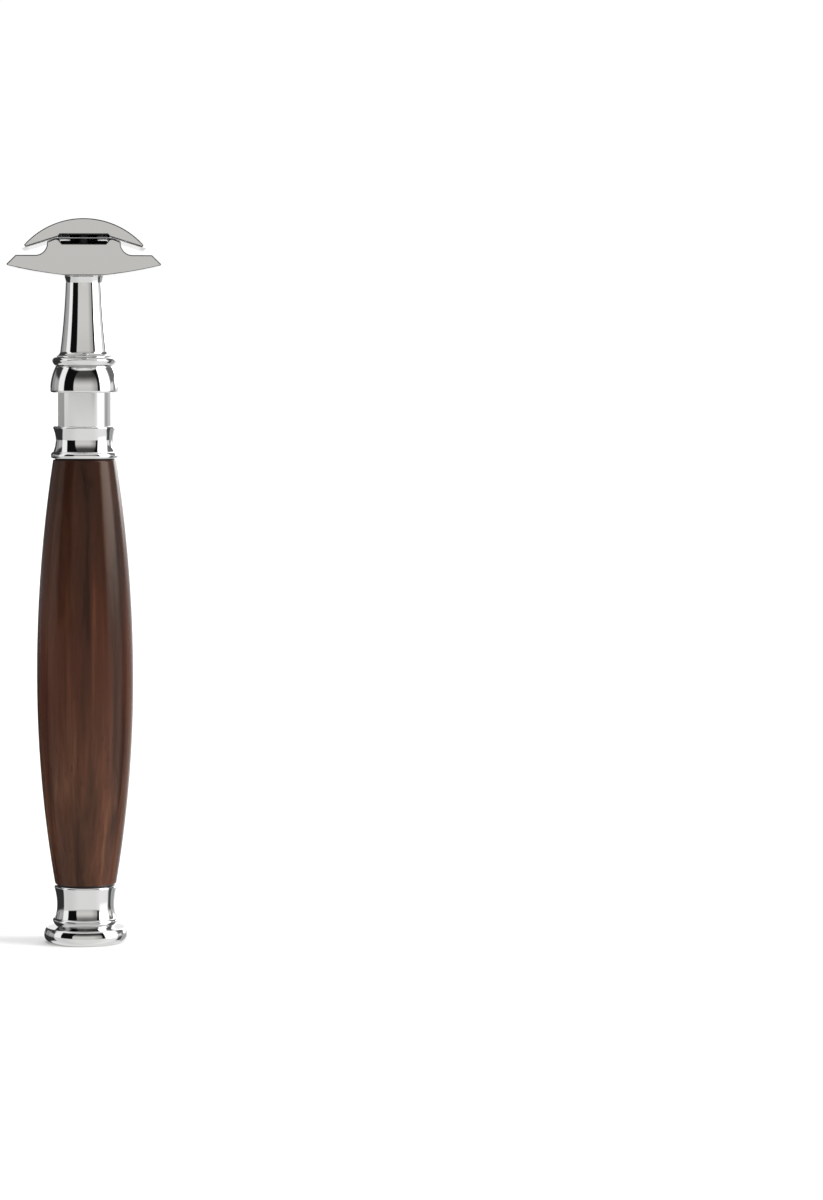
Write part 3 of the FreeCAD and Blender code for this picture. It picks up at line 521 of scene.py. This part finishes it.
def paint_rim_reflection(name, edge, round_over):
    """Gives the rounded rims of a head plate's two end faces a painted dark reflection of the studio."""
    mesh = NODES[name].data
    mesh.materials.append(edge)
    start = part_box(name)[1][1] - round_over
    for face in mesh.polygons:
        turned = abs(face.normal.y) < RIM_TURN and face.normal.z > RIM_LOWEST
        if abs(face.center.y) > start and turned:
            face.material_index = len(mesh.materials) - 1


class RAZOR_OT_foot(bpy.types.Operator):
    """Finish the foot knob and its bead"""

    bl_idname = "razor.foot"
    bl_label = "Foot"

    def execute(self, context):
        paint(("foot_knob", "foot_bead"), plating(context.scene.razor_finish))
        return {"FINISHED"}


class RAZOR_OT_ferrule(bpy.types.Operator):
    """Finish the ferrule below the grip"""

    bl_idname = "razor.ferrule"
    bl_label = "Ferrule"

    def execute(self, context):
        paint(("end_ferrule",), plating(context.scene.razor_finish))
        return {"FINISHED"}


class RAZOR_OT_fasteners(bpy.types.Operator):
    """Finish the tie rod, its lock nut and its spring washer"""

    bl_idname = "razor.fasteners"
    bl_label = "Rod, nut and washer"

    def execute(self, context):
        paint(("tie_rod", "lock_nut", "spring_washer"), zinc_plate(context.scene.razor_finish.zinc_colour))
        return {"FINISHED"}


class RAZOR_OT_seals(bpy.types.Operator):
    """Finish the rubber seals at the grip's ends"""

    bl_idname = "razor.seals"
    bl_label = "Seals"

    def execute(self, context):
        # the seals' near black also paints the shade of the gaps between grip and metal
        paint(("lower_seal", "upper_seal"), gap_shade_rubber(context.scene.razor_finish.seal_shade_colour))
        return {"FINISHED"}


class RAZOR_OT_liner(bpy.types.Operator):
    """Finish the brass tube inside the grip"""

    bl_idname = "razor.liner"
    bl_label = "Grip liner"

    def execute(self, context):
        paint(("grip_liner",), drawn_brass(context.scene.razor_finish.brass_colour))
        return {"FINISHED"}


class RAZOR_OT_grip(bpy.types.Operator):
    """Finish the wooden grip"""

    bl_idname = "razor.grip"
    bl_label = "Wooden grip"

    def execute(self, context):
        finish = context.scene.razor_finish
        low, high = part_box("wood_grip")
        colours = (finish.wood_base, finish.wood_red, finish.wood_light, finish.wood_dark)
        paint(("wood_grip",), lacquered_wood(*map(tuple, colours), finish.wood_gloss, low[2], high[2]))
        return {"FINISHED"}


class RAZOR_OT_collars(bpy.types.Operator):
    """Finish the ring, spool, sleeve, bell and bead between the grip and the neck"""

    bl_idname = "razor.collars"
    bl_label = "Collars"

    def execute(self, context):
        paint(("grip_ring", "neck_spool", "hanger_sleeve", "neck_bell", "neck_bead"),
              plating(context.scene.razor_finish))
        return {"FINISHED"}


class RAZOR_OT_neck(bpy.types.Operator):
    """Finish the neck column"""

    bl_idname = "razor.neck"
    bl_label = "Neck"

    def execute(self, context):
        paint(("neck_column",), plating(context.scene.razor_finish))
        return {"FINISHED"}


class RAZOR_OT_head(bpy.types.Operator):
    """Finish the base plate and the cap: polished outside, painted shade in the hollow, painted dark
    reflection on the rims
    """

    bl_idname = "razor.head"
    bl_label = "Base plate and cap"

    def execute(self, context):
        finish = context.scene.razor_finish
        paint(("base_plate", "cap_plate"), plating(finish))
        # near-black plating as painted shade in the hollow between the plates
        hollow_shade = painted_dark_chrome(finish.hollow_shade_colour, "painted_dark_chrome")
        # dark plating on the rims as a painted reflection of the dark studio
        edge = painted_dark_chrome(finish.rim_reflection_colour, "rim_reflection_chrome")
        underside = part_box("base_plate")[0][2]
        low, high = underside + finish.hollow_low, underside + finish.hollow_high
        for name in ("base_plate", "cap_plate"):
            paint_hollow_shade(name, hollow_shade, low, high, finish.hollow_half)
            paint_rim_reflection(name, edge, finish.rim_round)
        return {"FINISHED"}


class RAZOR_OT_blade(bpy.types.Operator):
    """Finish the double-edge blade"""

    bl_idname = "razor.blade"
    bl_label = "Blade"

    def execute(self, context):
        finish = context.scene.razor_finish
        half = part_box("razor_blade")[1][0]
        paint(("razor_blade",), blade_steel(
            tuple(finish.blade_colour), tuple(finish.blade_edge_colour), half - finish.blade_bevel))
        return {"FINISHED"}


class RAZOR_OT_stud(bpy.types.Operator):
    """Finish the cap's threaded stud and locating posts"""

    bl_idname = "razor.stud"
    bl_label = "Stud and posts"

    def execute(self, context):
        # near black: painted shade round the posts inside the head
        paint(("cap_stud", "cap_posts"), shade_dark_steel(tuple(context.scene.razor_finish.stud_shade_colour)))
        return {"FINISHED"}


class RAZOR_OT_stage(bpy.types.Operator):
    """Lay the floor, light the razor and set up the camera"""

    bl_idname = "razor.stage"
    bl_label = "Floor, light and camera"

    def execute(self, context):
        stage = context.scene.razor_stage
        scene = context.scene
        scene.world = studio_world(stage.backdrop)
        scene.view_settings.view_transform = "Standard"

        reach = stage.floor_reach
        mesh = bpy.data.meshes.new("floor")
        mesh.from_pydata([(-reach, -reach, 0), (reach, -reach, 0), (reach, reach, 0), (-reach, reach, 0)],
                         [], [(0, 1, 2, 3)])
        mesh.materials.append(floor_paint())
        floor = bpy.data.objects.new("floor", mesh)
        floor.visible_glossy = False
        scene.collection.objects.link(floor)

        light = bpy.data.lights.new("overhead", "SUN")
        light.energy = stage.overhead
        light.angle = math.radians(60)
        lamp = bpy.data.objects.new("overhead", light)
        lamp.visible_glossy = False
        scene.collection.objects.link(lamp)

        lens = bpy.data.cameras.new("camera")
        lens.lens = stage.lens
        lens.sensor_width = 36.0
        camera = bpy.data.objects.new("camera", lens)
        camera.location = (0.0, -stage.distance, stage.eye_height)
        camera.rotation_euler = Euler((math.radians(90) - stage.tilt, stage.roll, -stage.pan), "XYZ")
        scene.collection.objects.link(camera)
        scene.camera = camera
        return {"FINISHED"}


class RAZOR_PT_panel(bpy.types.Panel):
    """Buttons for every piece of the razor"""

    bl_idname = "RAZOR_PT_panel"
    bl_label = "Razor"
    bl_space_type = "VIEW_3D"
    bl_region_type = "UI"
    bl_category = "Razor"

    def draw(self, context):
        for operator in OPERATORS:
            self.layout.operator(operator.bl_idname)


OPERATORS = (
    RAZOR_OT_foot, RAZOR_OT_ferrule, RAZOR_OT_fasteners, RAZOR_OT_seals, RAZOR_OT_liner, RAZOR_OT_grip,
    RAZOR_OT_collars, RAZOR_OT_neck, RAZOR_OT_head, RAZOR_OT_blade, RAZOR_OT_stud, RAZOR_OT_stage,
)
CLASSES = (RazorFinish, RazorStage, *OPERATORS, RAZOR_PT_panel)


def register():
    for cls in CLASSES:
        bpy.utils.register_class(cls)
    bpy.types.Scene.razor_finish = bpy.props.PointerProperty(type=RazorFinish)
    bpy.types.Scene.razor_stage = bpy.props.PointerProperty(type=RazorStage)


def unregister():
    del bpy.types.Scene.razor_stage
    del bpy.types.Scene.razor_finish
    for cls in reversed(CLASSES):
        bpy.utils.unregister_class(cls)


def main():
    register()
    for operator in OPERATORS:
        group, name = operator.bl_idname.split(".")
        getattr(getattr(bpy.ops, group), name)()


if __name__ == "__main__":
    main()
